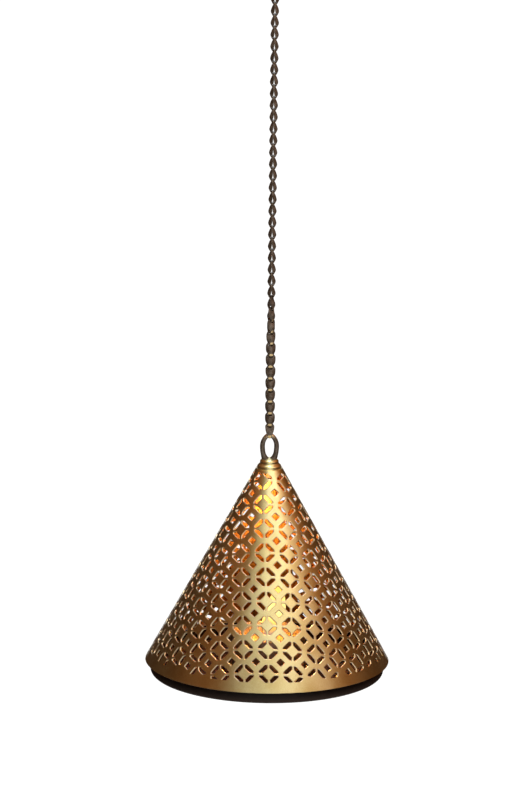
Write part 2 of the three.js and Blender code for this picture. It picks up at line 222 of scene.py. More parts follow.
# Down one plate from its ring to the fold: how far from the ring's middle, half the width, half the hole,
# how far the plate stands out from the middle of the link, and how much of that its edges curl back
link_stations = [
    (0.45 * mm, 1.3 * mm, 0.6 * mm, link_pinch, 0),
    (-0.42 * mm, 1.95 * mm, 1.15 * mm, link_pinch, 0.3),
    (-1 * mm, 2.35 * mm, 1.45 * mm, 0.68 * mm, 0.84),
    (-1.5 * mm, 2.42 * mm, 0.5 * mm, 0.98 * mm, 0.9),
    (-2.5 * mm, 2.42 * mm, 0.9 * mm, 1.4 * mm, 0.94),
    (-3.4 * mm, 2.34 * mm, 0.85 * mm, 1.74 * mm, 0.93),
    (-4.3 * mm, 2.15 * mm, 0.8 * mm, 1.86 * mm, 0.88),
    (-5 * mm, 1.75 * mm, 0.7 * mm, 1.72 * mm, 0.74),
    (link_fold_height, 1.25 * mm, 0.6 * mm, link_fold_radius, 0.25),
]


def link_form(hole_rows, least_hole, curl, neck):
    """Half a link as a grid shaped to the stations, spun round half of the fold, and mirrored.

    The hole takes up the grid's middle in the hole rows, and is at least as wide there as least_hole.
    Curl is the share of the stations' curl that is kept, and neck the share of the width at the fold.
    """
    form = bmesh.new()
    rows = len(link_stations) - 1
    bmesh.ops.create_grid(form, x_segments=4, y_segments=rows, size=1)
    hole = []
    for face in form.faces:
        middle = face.calc_center_median()
        if round((1 - middle.y) / 2 * rows - 0.5) in hole_rows and abs(middle.x) < 0.5:
            hole.append(face)
    bmesh.ops.delete(form, geom=hole, context="FACES")
    worn = form.verts.layers.float.new("worn")
    for vert in form.verts:
        row = round((1 - vert.co.y) / 2 * rows)
        height, half_width, half_hole, depth, dish = link_stations[row]
        half_width *= 1 - (1 - neck) * (row / rows) ** 2
        if row in hole_rows:
            half_hole = max(half_hole, least_hole)
        share = vert.co.x
        if abs(share) not in (0, 1):
            share = math.copysign(half_hole / half_width, share)
        vert.co = (share * half_width, depth * (1 - curl * dish * share * share), height)
        rubbing = {0: ring_wear, rows - 1: ring_wear, rows: 1}.get(row, 0)
        vert[worn] = rubbing * (1 if abs(share) < 1 else rim_wear)
    at_fold = {v for v in form.verts if abs(v.co.z - link_fold_height) < 0.01 * mm}
    fold_line = [e for e in form.edges if at_fold.issuperset(e.verts)]
    bmesh.ops.spin(
        form,
        geom=fold_line,
        cent=(0, 0, link_fold_height),
        axis=(-1, 0, 0),
        angle=math.pi / 2,
        steps=link_fold_steps,
    )
    for vert in form.verts:
        fold = (link_fold_height - vert.co.z) / link_fold_radius
        if fold > 0.01:
            vert.co.y *= 1 - link_fold_taper * fold
    half = form.faces[:] + form.edges[:] + form.verts[:]
    bmesh.ops.mirror(form, geom=half, axis="Y", merge_dist=0.02 * mm)
    bmesh.ops.remove_doubles(form, verts=form.verts, dist=0.01 * mm)
    bmesh.ops.recalc_face_normals(form, faces=form.faces)
    return form


def link_mesh(form):
    """The mesh of a link, with the thickness of its sheet and soft edges."""
    mesh = bpy.data.meshes.new("link")
    form.to_mesh(mesh)
    form.free()
    mesh.shade_smooth()
    template = bpy.data.objects.new("link", mesh)
    bpy.context.scene.collection.objects.link(template)
    modifiers = [
        ("SOLIDIFY", {"thickness": link_sheet, "offset": 0.0}),
        ("BEVEL", {"width": link_edge, "segments": 1, "limit_method": "ANGLE"}),
        ("SUBSURF", {"levels": 1, "render_levels": 1}),
    ]
    for kind, settings in modifiers:
        modifier = template.modifiers.new(kind.title(), kind)
        for setting, value in settings.items():
            setattr(modifier, setting, value)
    graph = bpy.context.evaluated_depsgraph_get()
    made = bpy.data.meshes.new_from_object(template.evaluated_get(graph))
    bpy.data.objects.remove(template)
    return made


# The first link has a long hole for the ring's wire, and the last one a narrow open fold for the eye
first_link = link_mesh(link_form(hole_rows=(1, 2, 3, 4, 5), least_hole=wire_hole, curl=0.25, neck=1))
middle_link = link_mesh(link_form(hole_rows=(1, 2), least_hole=0, curl=1, neck=1))
last_link = link_mesh(link_form(hole_rows=(1, 2), least_hole=0, curl=0.1, neck=0.5))
swings = [joint for joint in frame["joints"] if joint["child"].startswith("link_")]
for swing in swings:
    child = swing["child"]
    axis = Vector(swing["axis"])
    turn = Matrix.Rotation(math.atan2(axis.y, axis.x), 4, "Z")
    shape = {swings[0]["child"]: first_link, swings[-1]["child"]: last_link}.get(child, middle_link)
    mesh = shape.copy()
    mesh.transform(Matrix.Translation(swing["pos_m"]) @ turn)
    set_piece(f"{child}_plates", mesh, [bronze], child, "chain_bronze", f"chain_{child}")

# Wire eye
# Round wire bent into an oval loop, with a shank that goes down through the tip. Its foot is soldered
# to the tip. It is browned with the chain, and the last link rubs the top of the loop bright.
eye_low, eye_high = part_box("top_eye")
tip_low, tip_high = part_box("tip_ferrule")
eye_wire = 1.08 * mm
eye_thickening = 0.15 * mm
eye_reach = eye_high.x - eye_wire - eye_thickening
eye_crown = eye_high.z - eye_wire
eye_flank = (eye_high.z + tip_high.z) / 2
eye_foot = Vector((1.5 * mm, 0, tip_high.z - 0.9 * mm))
eye_flare = 0.7 * mm
eye_flare_height = 4.5 * mm
eye_pull = 0.5523
crown_pull = 0.4
eye_steps = 14
shank_radius = 1 * mm
crown_wear = 0.75
wear_start = 0.35


def bent_wire(path, radii):
    """A round wire in the XZ plane, whose end is extruded from point to point of a path."""
    ways = [(after - before).normalized() for before, after in zip(path, path[1:])]
    ways = [ways[0]] + [(a + b).normalized() for a, b in zip(ways, ways[1:])] + [ways[-1]]
    turns = [Matrix.Rotation(math.atan2(way.x, way.z), 4, "Y") for way in ways]
    stations = [
        Matrix.Translation(point) @ turn @ Matrix.Scale(radius, 4)
        for point, turn, radius in zip(path, turns, radii)
    ]
    form = bmesh.new()
    bmesh.ops.create_circle(form, cap_ends=True, radius=1, segments=wire_sides, matrix=stations[0])
    end = form.faces[:]
    for here, there in zip(stations, stations[1:]):
        grown = bmesh.ops.extrude_face_region(form, geom=end)
        end = [item for item in grown["geom"] if isinstance(item, bmesh.types.BMFace)]
        bmesh.ops.transform(form, matrix=there @ here.inverted(), verts=end[0].verts)
    bmesh.ops.recalc_face_normals(form, faces=form.faces)
    return form


def loop_path():
    """From the right foot up the right flank, over the crown, and down to the left foot."""
    right, crown = Vector((eye_reach, 0, eye_flank)), Vector((0, 0, eye_crown))
    rise = Vector((0, 0, eye_pull * (eye_crown - eye_flank)))
    side = Vector((eye_pull * eye_reach, 0, 0))
    drop = Vector((0, 0, eye_pull * (eye_flank - eye_foot.z)))
    lower = interpolate_bezier(eye_foot, eye_foot + side / 2 + drop / 3, right - drop, right, eye_steps)
    over = crown + side * crown_pull / eye_pull
    upper = interpolate_bezier(right, right + rise, over, crown, eye_steps)
    half = lower[:-1] + upper
    return half + [Vector((-point.x, 0, point.z)) for point in reversed(half[:-1])]


def eye_radius(point):
    """The wire's radius: least at the crown, where it is stretched, most in the solder at the foot."""
    below_crown = min((eye_crown - point.z) / (eye_crown - eye_flank), 1)
    flare = max(1 - (point.z - eye_foot.z) / eye_flare_height, 0)
    return eye_wire + eye_thickening * below_crown + eye_flare * flare * flare


loop = loop_path()
eye = bent_wire(loop, [eye_radius(point) for point in loop])
shank_path = [Vector((0, 0, eye_low.z)), Vector((0, 0, tip_high.z))]
shank = bent_wire(shank_path, [shank_radius, shank_radius])
shank_mesh = smoothed(shank, "eye_shank", soft_edge)
eye.from_mesh(shank_mesh)
bpy.data.meshes.remove(shank_mesh)
worn = eye.verts.layers.float.new("worn")
for vert in eye.verts:
    rise = (vert.co.z - eye_flank) / (eye_high.z - eye_flank)
    vert[worn] = crown_wear * max(rise - wear_start, 0) / (1 - wear_start)
eye_mesh = smoothed(eye, "eye_wire", soft_edge)
set_piece("eye_wire", eye_mesh, [bronze], "lantern", "chain_bronze", "top_eye")

# Tip
# A small brass turning with two bead rings, which closes the point of the cone and seats the sheet.
# A washer and a hexagon nut inside pull the eye's shank up tight against it.
bead_size = 0.75 * mm
bead_spacing = 2.4 * mm
bead_groove = 0.45 * mm
bead_steps = 24
tip_seat_drop = 1.2 * mm
solder_rise = 0.5 * mm
solder_radius = 2.6 * mm
solder_shoulder = 1.6 * mm
sheet_thickness = 0.6 * mm
shade_low, shade_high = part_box("shade")
mouth_radius = shade_high.x
apex_rise = 110 * mm
mouth = shade_low.z + sheet_thickness * mouth_radius / math.hypot(mouth_radius, apex_rise)
apex = mouth + apex_rise


def lacquered_brass(name, light, deep, rough):
    """Satin brass under lacquer: fine rolling grain, soft clouds of tarnish, and a few darker specks."""
    material, start = new_finish(name)
    place = start.node("ShaderNodeTexCoord", out="Object")
    clouds = start.noise(place, 16 * mm, 3)
    grain = start.noise(place, 0.5 * mm, 3)
    specks = start.noise(place, 1.6 * mm, 1).between(0.68, 0.78)
    tone = (0.75 * clouds + 0.25 * grain).between(0.36, 0.62)
    surface(
        start,
        Base_Color=(0.5 * specks).tint(tone.tint(deep, light), deep),
        Metallic=1.0,
        Roughness=rough - 0.04 + 0.12 * grain + 0.08 * specks,
        Coat_Weight=1.0,
        Coat_Roughness=0.22,
        Coat_IOR=1.8,
        Normal=start.bump(grain + 0.6 * clouds, 0.015 * mm),
    )
    return material


def turned(profile, steps=72):
    """A turning: a profile of (radius, height) points spun about the lantern's axis."""
    form = bmesh.new()
    points = [form.verts.new((radius, 0, height)) for radius, height in profile]
    lines = [form.edges.new(pair) for pair in zip(points, points[1:])]
    bmesh.ops.spin(
        form,
        geom=points + lines,
        cent=(0, 0, 0),
        axis=(0, 0, 1),
        angle=2 * math.pi,
        steps=steps,
        use_merge=True,
    )
    bmesh.ops.remove_doubles(form, verts=form.verts, dist=0.001 * mm)
    bmesh.ops.recalc_face_normals(form, faces=form.faces)
    return form


def cone_radius(height):
    """How far the outside of the cone is from the axis at a height."""
    return (apex - height) * mouth_radius / apex_rise


brass = lacquered_brass("lacquered_brass", (0.88, 0.82, 0.37), (0.74, 0.63, 0.22), 0.32)
first_bead = tip_high.z - bead_size
second_bead = first_bead - bead_spacing
tip_seat = second_bead - tip_seat_drop


def beaded(height):
    """The tip's radius: on the line of the cone at each bead, and sunk into a groove between them."""
    wave = math.cos(2 * math.pi * (height - first_bead) / bead_spacing)
    return cone_radius(height) - bead_groove * (1 - wave) / 2


bead_heights = [tip_seat + (tip_high.z - tip_seat) * step / bead_steps for step in range(bead_steps + 1)]
spigot_radius = cone_radius(tip_low.z) - 2 * sheet_thickness
tip_profile = [
    (0, tip_low.z),
    (spigot_radius, tip_low.z),
    (spigot_radius, tip_seat),
    *[(beaded(height), height) for height in bead_heights],
    (solder_radius, tip_high.z),
    (solder_shoulder, tip_high.z + 0.6 * solder_rise),
    (0, tip_high.z + solder_rise),
]
set_piece(
    "tip_turning",
    smoothed(turned(tip_profile), "tip_turning", soft_edge),
    [brass],
    "lantern",
    "shade_brass",
    "tip_ferrule",
)
for hidden in ("retaining_washer", "retaining_nut"):
    frame["nodes"][hidden].data.materials.clear()
    frame["nodes"][hidden].data.materials.append(brass)

# Shade
# A cone rolled from thin brass sheet and soldered flush along one line at the back. Before rolling,
# a common lattice is punched through it: roundels of four slots, with a small diamond between them.
lattice_pitch = 12.2 * mm
cell_side_steps = 6
lattice_row_turn = math.radians(-1.4)
lattice_column_turn = math.radians(2.5)
bottom_cell_rise = 9.6 * mm
bottom_cell_side = 0.9 * mm
# A slot's outline from the roundel's middle outwards: how far out, and half its length there
slot_outline = [(2.22 * mm, 1.84 * mm), (3.7 * mm, 3.32 * mm), (4.63 * mm, 2.39 * mm)]
slot_rounding = 0.4 * mm
diamond_reach = 2.4 * mm
diamond_rounding = 0.35 * mm
# The punch rolls the metal over into each hole in two steps: how wide, and how deep below the face
lip_steps = [(0.17 * mm, 0.07 * mm), (0.19 * mm, 0.31 * mm)]
band_width = 5.2 * mm
neck_margin = 1.47 * mm
seam_half_width = 18 * mm
seam_steps = 6
least_open_share = 0.4
lip_least_facing = 0.3
slant = math.hypot(mouth_radius, apex_rise)
cone_sin = mouth_radius / slant
cone_cos = apex_rise / slant
sheet_half_angle = math.pi * cone_sin
sheet_top = (apex - shade_high.z) / cone_cos
pattern_top = sheet_top + neck_margin
pattern_bottom = slant - band_width
pattern_half_angle = sheet_half_angle - seam_half_width / slant
solid, lip, inner_face, knocked_out = 0, 1, 2, 3


def punch(form, corners, rounding):
    """A hole as a face of its own with rounded corners, to be knocked out later."""
    face = form.faces.new([form.verts.new((x, y, 0)) for x, y in corners])
    face.material_index = knocked_out
    bmesh.ops.bevel(
        form, geom=face.verts[:], offset=rounding, affect="VERTICES", segments=2, profile=0.5, material=-1
    )


def lattice_cell():
    """One square of the flat lattice about a diamond, with the middle of a roundel at each corner."""
    form = bmesh.new()
    sunk = form.verts.layers.float.new("sunk")
    half = lattice_pitch / 2
    punch(form, [(reach, -side) for reach, side in slot_outline] + slot_outline[::-1], slot_rounding)
    bmesh.ops.rotate(form, verts=form.verts, matrix=Matrix.Rotation(math.pi / 4, 3, "Z"))
    bmesh.ops.translate(form, verts=form.verts, vec=(-half, -half, 0))
    bmesh.ops.spin(
        form,
        geom=form.faces[:],
        cent=(0, 0, 0),
        axis=(0, 0, 1),
        angle=1.5 * math.pi,
        steps=3,
        use_duplicate=True,
    )
    reach = diamond_reach
    punch(form, [(reach, 0), (0, reach), (-reach, 0), (0, -reach)], diamond_rounding)
    holes = form.faces[:]
    for width, depth in lip_steps:
        rolled = bmesh.ops.inset_individual(form, faces=holes, thickness=width, use_even_offset=True)
        for face in rolled["faces"]:
            face.material_index = lip
        for vert in {vert for face in holes for vert in face.verts}:
            vert[sunk] = depth
    square = bmesh.ops.create_circle(
        form, radius=half * math.sqrt(2), segments=4, matrix=Matrix.Rotation(math.pi / 4, 4, "Z")
    )
    sides = list(dict.fromkeys(edge for vert in square["verts"] for edge in vert.link_edges))
    bmesh.ops.subdivide_edges(form, edges=sides, cuts=cell_side_steps - 1)
    outlines = [edge for edge in form.edges if len(edge.link_faces) < 2]
    filled = bmesh.ops.triangle_fill(form, edges=outlines, use_beauty=True, use_dissolve=False)
    for item in filled["geom"]:
        if isinstance(item, bmesh.types.BMFace):
            item.material_index = solid
    return form


def flat_lattice():
    """The cells that reach the sheet, merged, about the cone's apex with the front line pointing down."""
    cell = lattice_cell()
    cell_mesh = bpy.data.meshes.new("lattice_cell")
    cell.to_mesh(cell_mesh)
    cell.free()
    form = bmesh.new()
    askew = Matrix(
        (
            (math.cos(lattice_row_turn), -math.sin(lattice_column_turn), 0),
            (math.sin(lattice_row_turn), math.cos(lattice_column_turn), 0),
            (0, 0, 1),
        )
    )
    bottom_cell = Vector((bottom_cell_side, bottom_cell_rise - slant, 0))
    cells = math.ceil(slant / lattice_pitch) + 1
    for row in range(-1, cells):
        for column in range(-cells, cells):
            middle = askew @ Vector((column + 0.5, row + 0.5, 0)) * lattice_pitch + bottom_cell
            angle = math.atan2(middle.x, -middle.y)
            on_sheet = (
                pattern_top - lattice_pitch < middle.length < pattern_bottom + lattice_pitch
                and (abs(angle) - pattern_half_angle) * middle.length < lattice_pitch
            )
            if not on_sheet:
                continue
            first = len(form.verts)
            form.from_mesh(cell_mesh)
            form.verts.ensure_lookup_table()
            placed = Matrix.Translation(middle) @ askew.to_4x4()
            bmesh.ops.transform(form, matrix=placed, verts=form.verts[first:])
    bpy.data.meshes.remove(cell_mesh)
    bmesh.ops.remove_doubles(form, verts=form.verts, dist=0.01 * mm)
    return form


def trimmed(form, axis, limit, outward):
    """Cuts the unrolled sheet along a line of its chart and drops what lies outward of it."""
    place, normal = Vector(), Vector()
    place[axis], normal[axis] = limit, outward
    everything = form.verts[:] + form.edges[:] + form.faces[:]
    bmesh.ops.bisect_plane(
        form, geom=everything, dist=1e-8, plane_co=place, plane_no=normal, clear_outer=True
    )


def margin(form, sunk, axis, line, edge, steps):
    """Grows a plain margin from a cut line of the chart out to the sheet's edge, in a number of steps."""
    boundary = [e for e in form.edges if e.is_boundary]
    on_line = [e for e in boundary if all(abs(v.co[axis] - line) < 1e-7 for v in e.verts)]
    for vert in {vert for line_edge in on_line for vert in line_edge.verts}:
        vert[sunk] = 0
    grown = bmesh.ops.extrude_edge_only(form, edges=on_line)["geom"]
    for item in grown:
        if isinstance(item, bmesh.types.BMVert):
            item.co[axis] = edge
        elif isinstance(item, bmesh.types.BMFace):
            item.material_index = solid
    far = [item for item in grown if isinstance(item, bmesh.types.BMVert)]
    across = [e for vert in far for e in vert.link_edges if e.other_vert(vert) not in far]
    if steps > 1:
        bmesh.ops.subdivide_edges(form, edges=across, cuts=steps - 1)


def on_cone(chart, depth):
    """Where a point of the chart, (angle about the apex, -distance from it), lies on the rolled sheet."""
    turn = chart.x / cone_sin
    radius = -chart.y * cone_sin - depth * cone_cos
    height = apex + chart.y * cone_cos - depth * cone_sin
    return Vector((radius * math.sin(turn), -radius * math.cos(turn), height))


def pierced_sheet():
    """The flat sheet, punched, with its plain margins, rolled into the cone and given its thickness."""
    form = flat_lattice()
    for vert in form.verts:
        vert.co = (math.atan2(vert.co.x, -vert.co.y), -vert.co.length, 0)
    whole = form.faces.layers.float.new("whole")
    for face in form.faces:
        face[whole] = face.calc_area()
    trimmed(form, 0, pattern_half_angle, 1)
    trimmed(form, 0, -pattern_half_angle, -1)
    trimmed(form, 1, -pattern_top, 1)
    trimmed(form, 1, -pattern_bottom, -1)
    sunk = form.verts.layers.float["sunk"]
    margin(form, sunk, 1, -pattern_bottom, -slant, 1)
    margin(form, sunk, 1, -pattern_top, -sheet_top, 1)
    margin(form, sunk, 0, pattern_half_angle, sheet_half_angle, seam_steps)
    margin(form, sunk, 0, -pattern_half_angle, -sheet_half_angle, seam_steps)
    holes = [f for f in form.faces if f.material_index == knocked_out]
    opened = [f for f in holes if f.calc_area() > least_open_share * f[whole]]
    uncut = set(holes) - set(opened)
    for _ in lip_steps:
        around = [f for face in uncut for vert in face.verts for f in vert.link_faces]
        uncut.update(f for f in around if f.material_index == lip)
    for face in uncut:
        face.material_index = solid
        for vert in face.verts:
            vert[sunk] = 0
    bmesh.ops.delete(form, geom=opened, context="FACES")
    rolled = bmesh.ops.extrude_face_region(form, geom=form.faces[:], use_keep_orig=True)
    inside = {item for item in rolled["geom"] if isinstance(item, bmesh.types.BMVert)}
    for vert in form.verts:
        vert.co = on_cone(vert.co, sheet_thickness if vert in inside else vert[sunk])
    for face in form.faces:
        depth = sum(vert in inside for vert in face.verts)
        if depth:
            face.material_index = inner_face if depth == len(face.verts) else lip
    bmesh.ops.remove_doubles(form, verts=form.verts, dist=0.002 * mm)
    walls = [f for f in form.faces if f.material_index == lip]
    seam_walls = [f for f in walls if not all(e.is_manifold for e in f.edges)]
    bmesh.ops.delete(form, geom=seam_walls, context="FACES")
    bmesh.ops.recalc_face_normals(form, faces=form.faces)
    return form


def cone_normal(point):
    """The way that the rolled sheet faces at a point."""
    around = Vector((point.x, point.y, 0)).normalized()
    return around * cone_cos + Vector((0, 0, cone_sin))


shade_mesh = smoothed(pierced_sheet(), "pierced_sheet", soft_edge)


def sheet_normals(mesh):
    """A normal for each corner: the true cone's on both faces of the sheet, rolled over on the lips."""
    flat = [polygon.material_index != lip for polygon in mesh.polygons]
    on_face = [False] * len(mesh.vertices)
    rolled_over = [Vector() for _ in mesh.vertices]
    for polygon, is_flat in zip(mesh.polygons, flat):
        for corner in polygon.vertices:
            if is_flat:
                on_face[corner] = True
            else:
                rolled_over[corner] += polygon.normal * polygon.area
    normals = []
    for polygon, is_flat in zip(mesh.polygons, flat):
        for corner in polygon.vertices:
            true_normal = cone_normal(mesh.vertices[corner].co)
            facing = polygon.normal.dot(true_normal)
            if is_flat or on_face[corner] and facing > lip_least_facing:
                normals.append(true_normal * math.copysign(1, facing))
            elif on_face[corner]:
                normals.append(polygon.normal.copy())
            else:
                normals.append(rolled_over[corner].normalized())
    return normals


shade_mesh.normals_split_custom_set(sheet_normals(shade_mesh))
cut_brass = lacquered_brass("cut_brass", (0.95, 0.82, 0.52), (0.84, 0.7, 0.4), 0.28)
heated_brass = lacquered_brass("heated_brass", (0.74, 0.38, 0.1), (0.52, 0.23, 0.05), 0.42)
set_piece(
    "pierced_sheet", shade_mesh, [brass, cut_brass, heated_brass], "lantern", "shade_brass", "shade"
)

# Base pan
# A shallow pan pressed from steel sheet and enamelled nearly black. Its upright wall wedges in the
# cone's mouth, and a raised seat with a low bead keeps the tealight in the middle.
pan_low, pan_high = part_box("base_pan")
pan_radius = pan_high.x
pan_sheet = 0.6 * mm
pan_corner = 1.6 * mm
pan_sides = 120
pan_seat_rise = 2 * mm
cup_low, cup_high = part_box("tealight_cup")
cup_radius = cup_high.x
pan_bead_play = 0.3 * mm
pan_bead_inner = cup_radius + pan_bead_play
pan_bead_width = 1 * mm
pan_bead_margin = 1.2 * mm
pan_seat_radius = pan_bead_inner + pan_bead_width + pan_bead_margin
# How far up the pan's wall the painted light at its foot reaches
foot_light_height = 5 * mm


def dark_enamel():
    """Brown-black enamel: orange-peel gloss with random scuffs, painted lighter towards the foot of its
    wall as painted light from below.
    """
    material, start = new_finish("dark_enamel")
    place = start.node("ShaderNodeTexCoord", out="Object")
    peel = start.noise(place, 1.2 * mm, 2)
    scuffs = start.noise(place, 5 * mm, 4).between(0.55, 0.75)
    height = start.node("ShaderNodeSeparateXYZ", None, {"Vector": place}, out="Z")
    # Painted light: the wall's lowest few millimetres are painted lighter and rougher, a painted
    # reflection of light from below; the scuffs add random wear.
    painted_foot_light = 1 - height.between(pan_low.z, pan_low.z + foot_light_height)
    lightened = 0.8 * painted_foot_light + 0.2 * scuffs
    surface(
        start,
        Base_Color=lightened.tint((0.008, 0.005, 0.004), (0.06, 0.044, 0.036)),
        Roughness=0.45 + 0.2 * lightened,
        Specular_IOR_Level=0.12,
        Normal=start.bump(peel, 0.03 * mm),
    )
    return material


def arc(radius, height, size, start, end, steps):
    """Points of a round stretch of a profile, from one angle in degrees to another."""
    angles = [math.radians(start + (end - start) * step / steps) for step in range(steps + 1)]
    return [(radius + size * math.cos(angle), height + size * math.sin(angle)) for angle in angles]


pan_bottom = pan_low.z
pan_floor = pan_bottom + pan_sheet
pan_seat = pan_floor + pan_seat_rise
pan_profile = [
    (0, pan_bottom + pan_seat_rise),
    (pan_seat_radius, pan_bottom + pan_seat_rise),
    (pan_seat_radius + pan_seat_rise, pan_bottom),
    *arc(pan_radius - pan_corner, pan_bottom + pan_corner, pan_corner, -90, 0, 6),
    *arc(pan_radius - pan_sheet / 2, pan_high.z - pan_sheet / 2, pan_sheet / 2, 0, 180, 6),
    *arc(pan_radius - pan_corner, pan_bottom + pan_corner, pan_corner - pan_sheet, 0, -90, 6),
    (pan_seat_radius + pan_seat_rise, pan_floor),
    (pan_seat_radius, pan_seat),
    *arc(pan_bead_inner + pan_bead_width / 2, pan_seat, pan_bead_width / 2, 0, 180, 8),
    (0, pan_seat),
]
set_piece(
    "pan_pressing",
    smoothed(turned(pan_profile, pan_sides), "pan_pressing", soft_edge),
    [dark_enamel()],
    "base",
    "pan_enamel",
    "base_pan",
)

# Tealight
# A cup drawn from thin aluminium, filled with wax round a cotton wick that stands on a tin foot.
# The wax has melted to a clear pool, and the flame shines down into it.
cup_sides = 96
cup_wall = 0.4 * mm
cup_corner = 1.2 * mm
cup_rim_step = 0.15 * mm
wax_low, wax_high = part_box("tealight_wax")
wick_low, wick_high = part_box("tealight_wick")
wick_radius = 0.62 * mm
wick_tip = 1.3 * mm
wax_radius = wax_high.x
wax_bore = 0.9 * mm
wax_corner = 0.5 * mm
pool_lip = 1.2 * mm
pool_edge = 1 * mm
pool_dish = 0.7 * mm


def drawn_aluminium():
    """Bare drawn aluminium with faint upright draw lines and fingered grey patches."""
    material, start = new_finish("drawn_aluminium")
    place = start.node("ShaderNodeTexCoord", out="Object")
    stretched = start.node("ShaderNodeMapping", None, {"Vector": place, "Scale": (1, 1, 0.06)})
    lines = start.noise(stretched, 0.4 * mm, 2)
    patches = start.noise(place, 7 * mm, 3)
    surface(
        start,
        Base_Color=patches.tint((0.62, 0.62, 0.6), (0.8, 0.8, 0.79)),
        Metallic=1.0,
        Roughness=0.26 + 0.16 * lines,
        Normal=start.bump(lines, 0.02 * mm),
    )
    return material


def lit_wax():
    """Candle wax: pale and wet in the pool's middle, amber and duller towards the cup."""
    material, start = new_finish("lit_wax")
    place = start.node("ShaderNodeTexCoord", out="Object")
    flat = start.node("ShaderNodeVectorMath", {"operation": "MULTIPLY"}, {0: place, 1: (1, 1, 0)})
    reach = start.node("ShaderNodeVectorMath", {"operation": "LENGTH"}, {0: flat}, out="Value")
    edge = reach.between(2 * mm, wax_radius)
    clouds = start.noise(place, 4 * mm, 3)
    surface(
        start,
        Base_Color=edge.tint(clouds.tint((0.78, 0.64, 0.34), (0.84, 0.7, 0.4)), (0.66, 0.44, 0.16)),
        Roughness=0.18 + 0.3 * edge,
        Normal=start.bump(clouds, 0.05 * mm),
    )
    return material


def charred_cotton():
    """Braided cotton, waxed pale below and burnt black at the top."""
    material, start = new_finish("charred_cotton")
    place = start.node("ShaderNodeTexCoord", out="Object")
    height = start.node("ShaderNodeSeparateXYZ", None, {"Vector": place}, out="Z")
    braid = start.noise(place, 0.5 * mm, 2)
    burnt = (height + 0.6 * mm * braid).between(wick_high.z - 3.6 * mm, wick_high.z - 1.6 * mm)
    surface(
        start,
        Base_Color=burnt.tint((0.62, 0.52, 0.4), (0.012, 0.01, 0.009)),
        Roughness=0.7 + 0.25 * braid,
        Normal=start.bump(braid, 0.1 * mm),
    )
    return material


aluminium = drawn_aluminium()
cup_profile = [
    (0, cup_low.z),
    *arc(cup_radius - cup_corner, cup_low.z + cup_corner, cup_corner, -90, 0, 5),
    (cup_radius - cup_rim_step, cup_high.z - cup_corner),
    *arc(cup_radius - cup_wall / 2, cup_high.z - cup_wall / 2, cup_wall / 2, -60, 200, 8),
    (cup_radius - cup_rim_step - cup_wall, cup_high.z - cup_corner),
    *arc(cup_radius - cup_corner, cup_low.z + cup_corner, cup_corner - cup_wall, 0, -90, 5),
    (0, cup_low.z + cup_wall),
]
set_piece(
    "cup_drawing",
    smoothed(turned(cup_profile, cup_sides), "cup_drawing", soft_edge),
    [aluminium],
    "tealight",
    "cup_aluminium",
    "tealight_cup",
)
wax_profile = [
    (wax_bore, wax_low.z + 2 * wax_corner),
    (wax_radius - wax_corner, wax_low.z + wax_corner),
    (wax_radius, wax_low.z + 2 * wax_corner),
    (wax_radius, wax_high.z),
    *arc(wax_radius - pool_lip, wax_high.z, pool_edge, 30, -60, 5),
    (0.6 * wax_radius, wax_high.z - pool_dish),
    (3 * wax_bore, wax_high.z - pool_dish),
    (wax_bore, wax_high.z - 0.4 * pool_dish),
    (wax_bore, wax_low.z + 2 * wax_corner),
]
set_piece(
    "wax_pool",
    smoothed(turned(wax_profile, cup_sides), "wax_pool", soft_edge),
    [lit_wax()],
    "tealight",
    "candle_wax",
    "tealight_wax",
)
wick_path = [
    Vector((0, 0, wick_low.z)),
    Vector((0, 0, wax_high.z + 1 * mm)),
    Vector((0.2 * mm, 0, wax_high.z + 2.4 * mm)),
    Vector((0.7 * mm, 0, wick_high.z - 0.8 * mm)),
    Vector((wick_tip, 0, wick_high.z - 0.3 * mm)),
]
wick = bent_wire(wick_path, [wick_radius for _ in wick_path])
set_piece(
    "wick_braid",
    smoothed(wick, "wick_braid", soft_edge),
    [charred_cotton()],
    "tealight",
    "wick_cotton",
    "tealight_wick",
)
foot = frame["nodes"]["wick_foot"]
foot.data.materials.clear()
foot.data.materials.append(aluminium)

# Flame
# The burning gas over the wick: dim violet at its foot, pale yellow in the middle, orange at its tip.
# It lights the inside of the cone, so the lattice glows.
flame_foot = wick_high.z - 2.2 * mm
flame_height = 28 * mm
flame_radius = 6.4 * mm
flame_lean = 0.18
flame_fullness = 2.1
flame_steps = 24
flame_sides = 32
flame_strength = 1.5
flame_power = 0.15
glow_rise = 0.7 * flame_height


def burning_gas():
    """Light alone, coloured by height."""
    material, start = new_finish("burning_gas")
    place = start.node("ShaderNodeTexCoord", out="Object")
    height = start.node("ShaderNodeSeparateXYZ", None, {"Vector": place}, out="Z")
    rise = (height - flame_foot) * (1 / flame_height)
    stops = [
        (0.0, (0.15, 0.1, 0.2)),
        (0.22, (0.95, 0.5, 0.08)),
        (0.5, (1.0, 0.82, 0.3)),
        (1.0, (1.0, 0.55, 0.06)),
    ]
    glow = start.node("ShaderNodeValToRGB", {"stops": stops}, {"Fac": rise})
    surface(
        start,
        Base_Color=(0.0, 0.0, 0.0, 1),
        Roughness=1.0,
        Emission_Color=glow,
        Emission_Strength=flame_strength,
    )
    return material


def flame_width(rise):
    """The teardrop's radius at a share of its height: full below, drawn out to a point above."""
    return flame_radius * flame_fullness * math.sqrt(rise) * (1 - rise) ** 0.9


flame_rises = [step / flame_steps for step in range(flame_steps + 1)]
flame_profile = [(flame_width(rise), flame_foot + flame_height * rise) for rise in flame_rises]
flame = turned(flame_profile, flame_sides)
for vert in flame.verts:
    vert.co.x += wick_tip + flame_lean * (vert.co.z - flame_foot)
gas = set_piece("flame", smoothed(flame, "flame", soft_edge), [burning_gas()], "tealight", None)
gas.visible_shadow = False

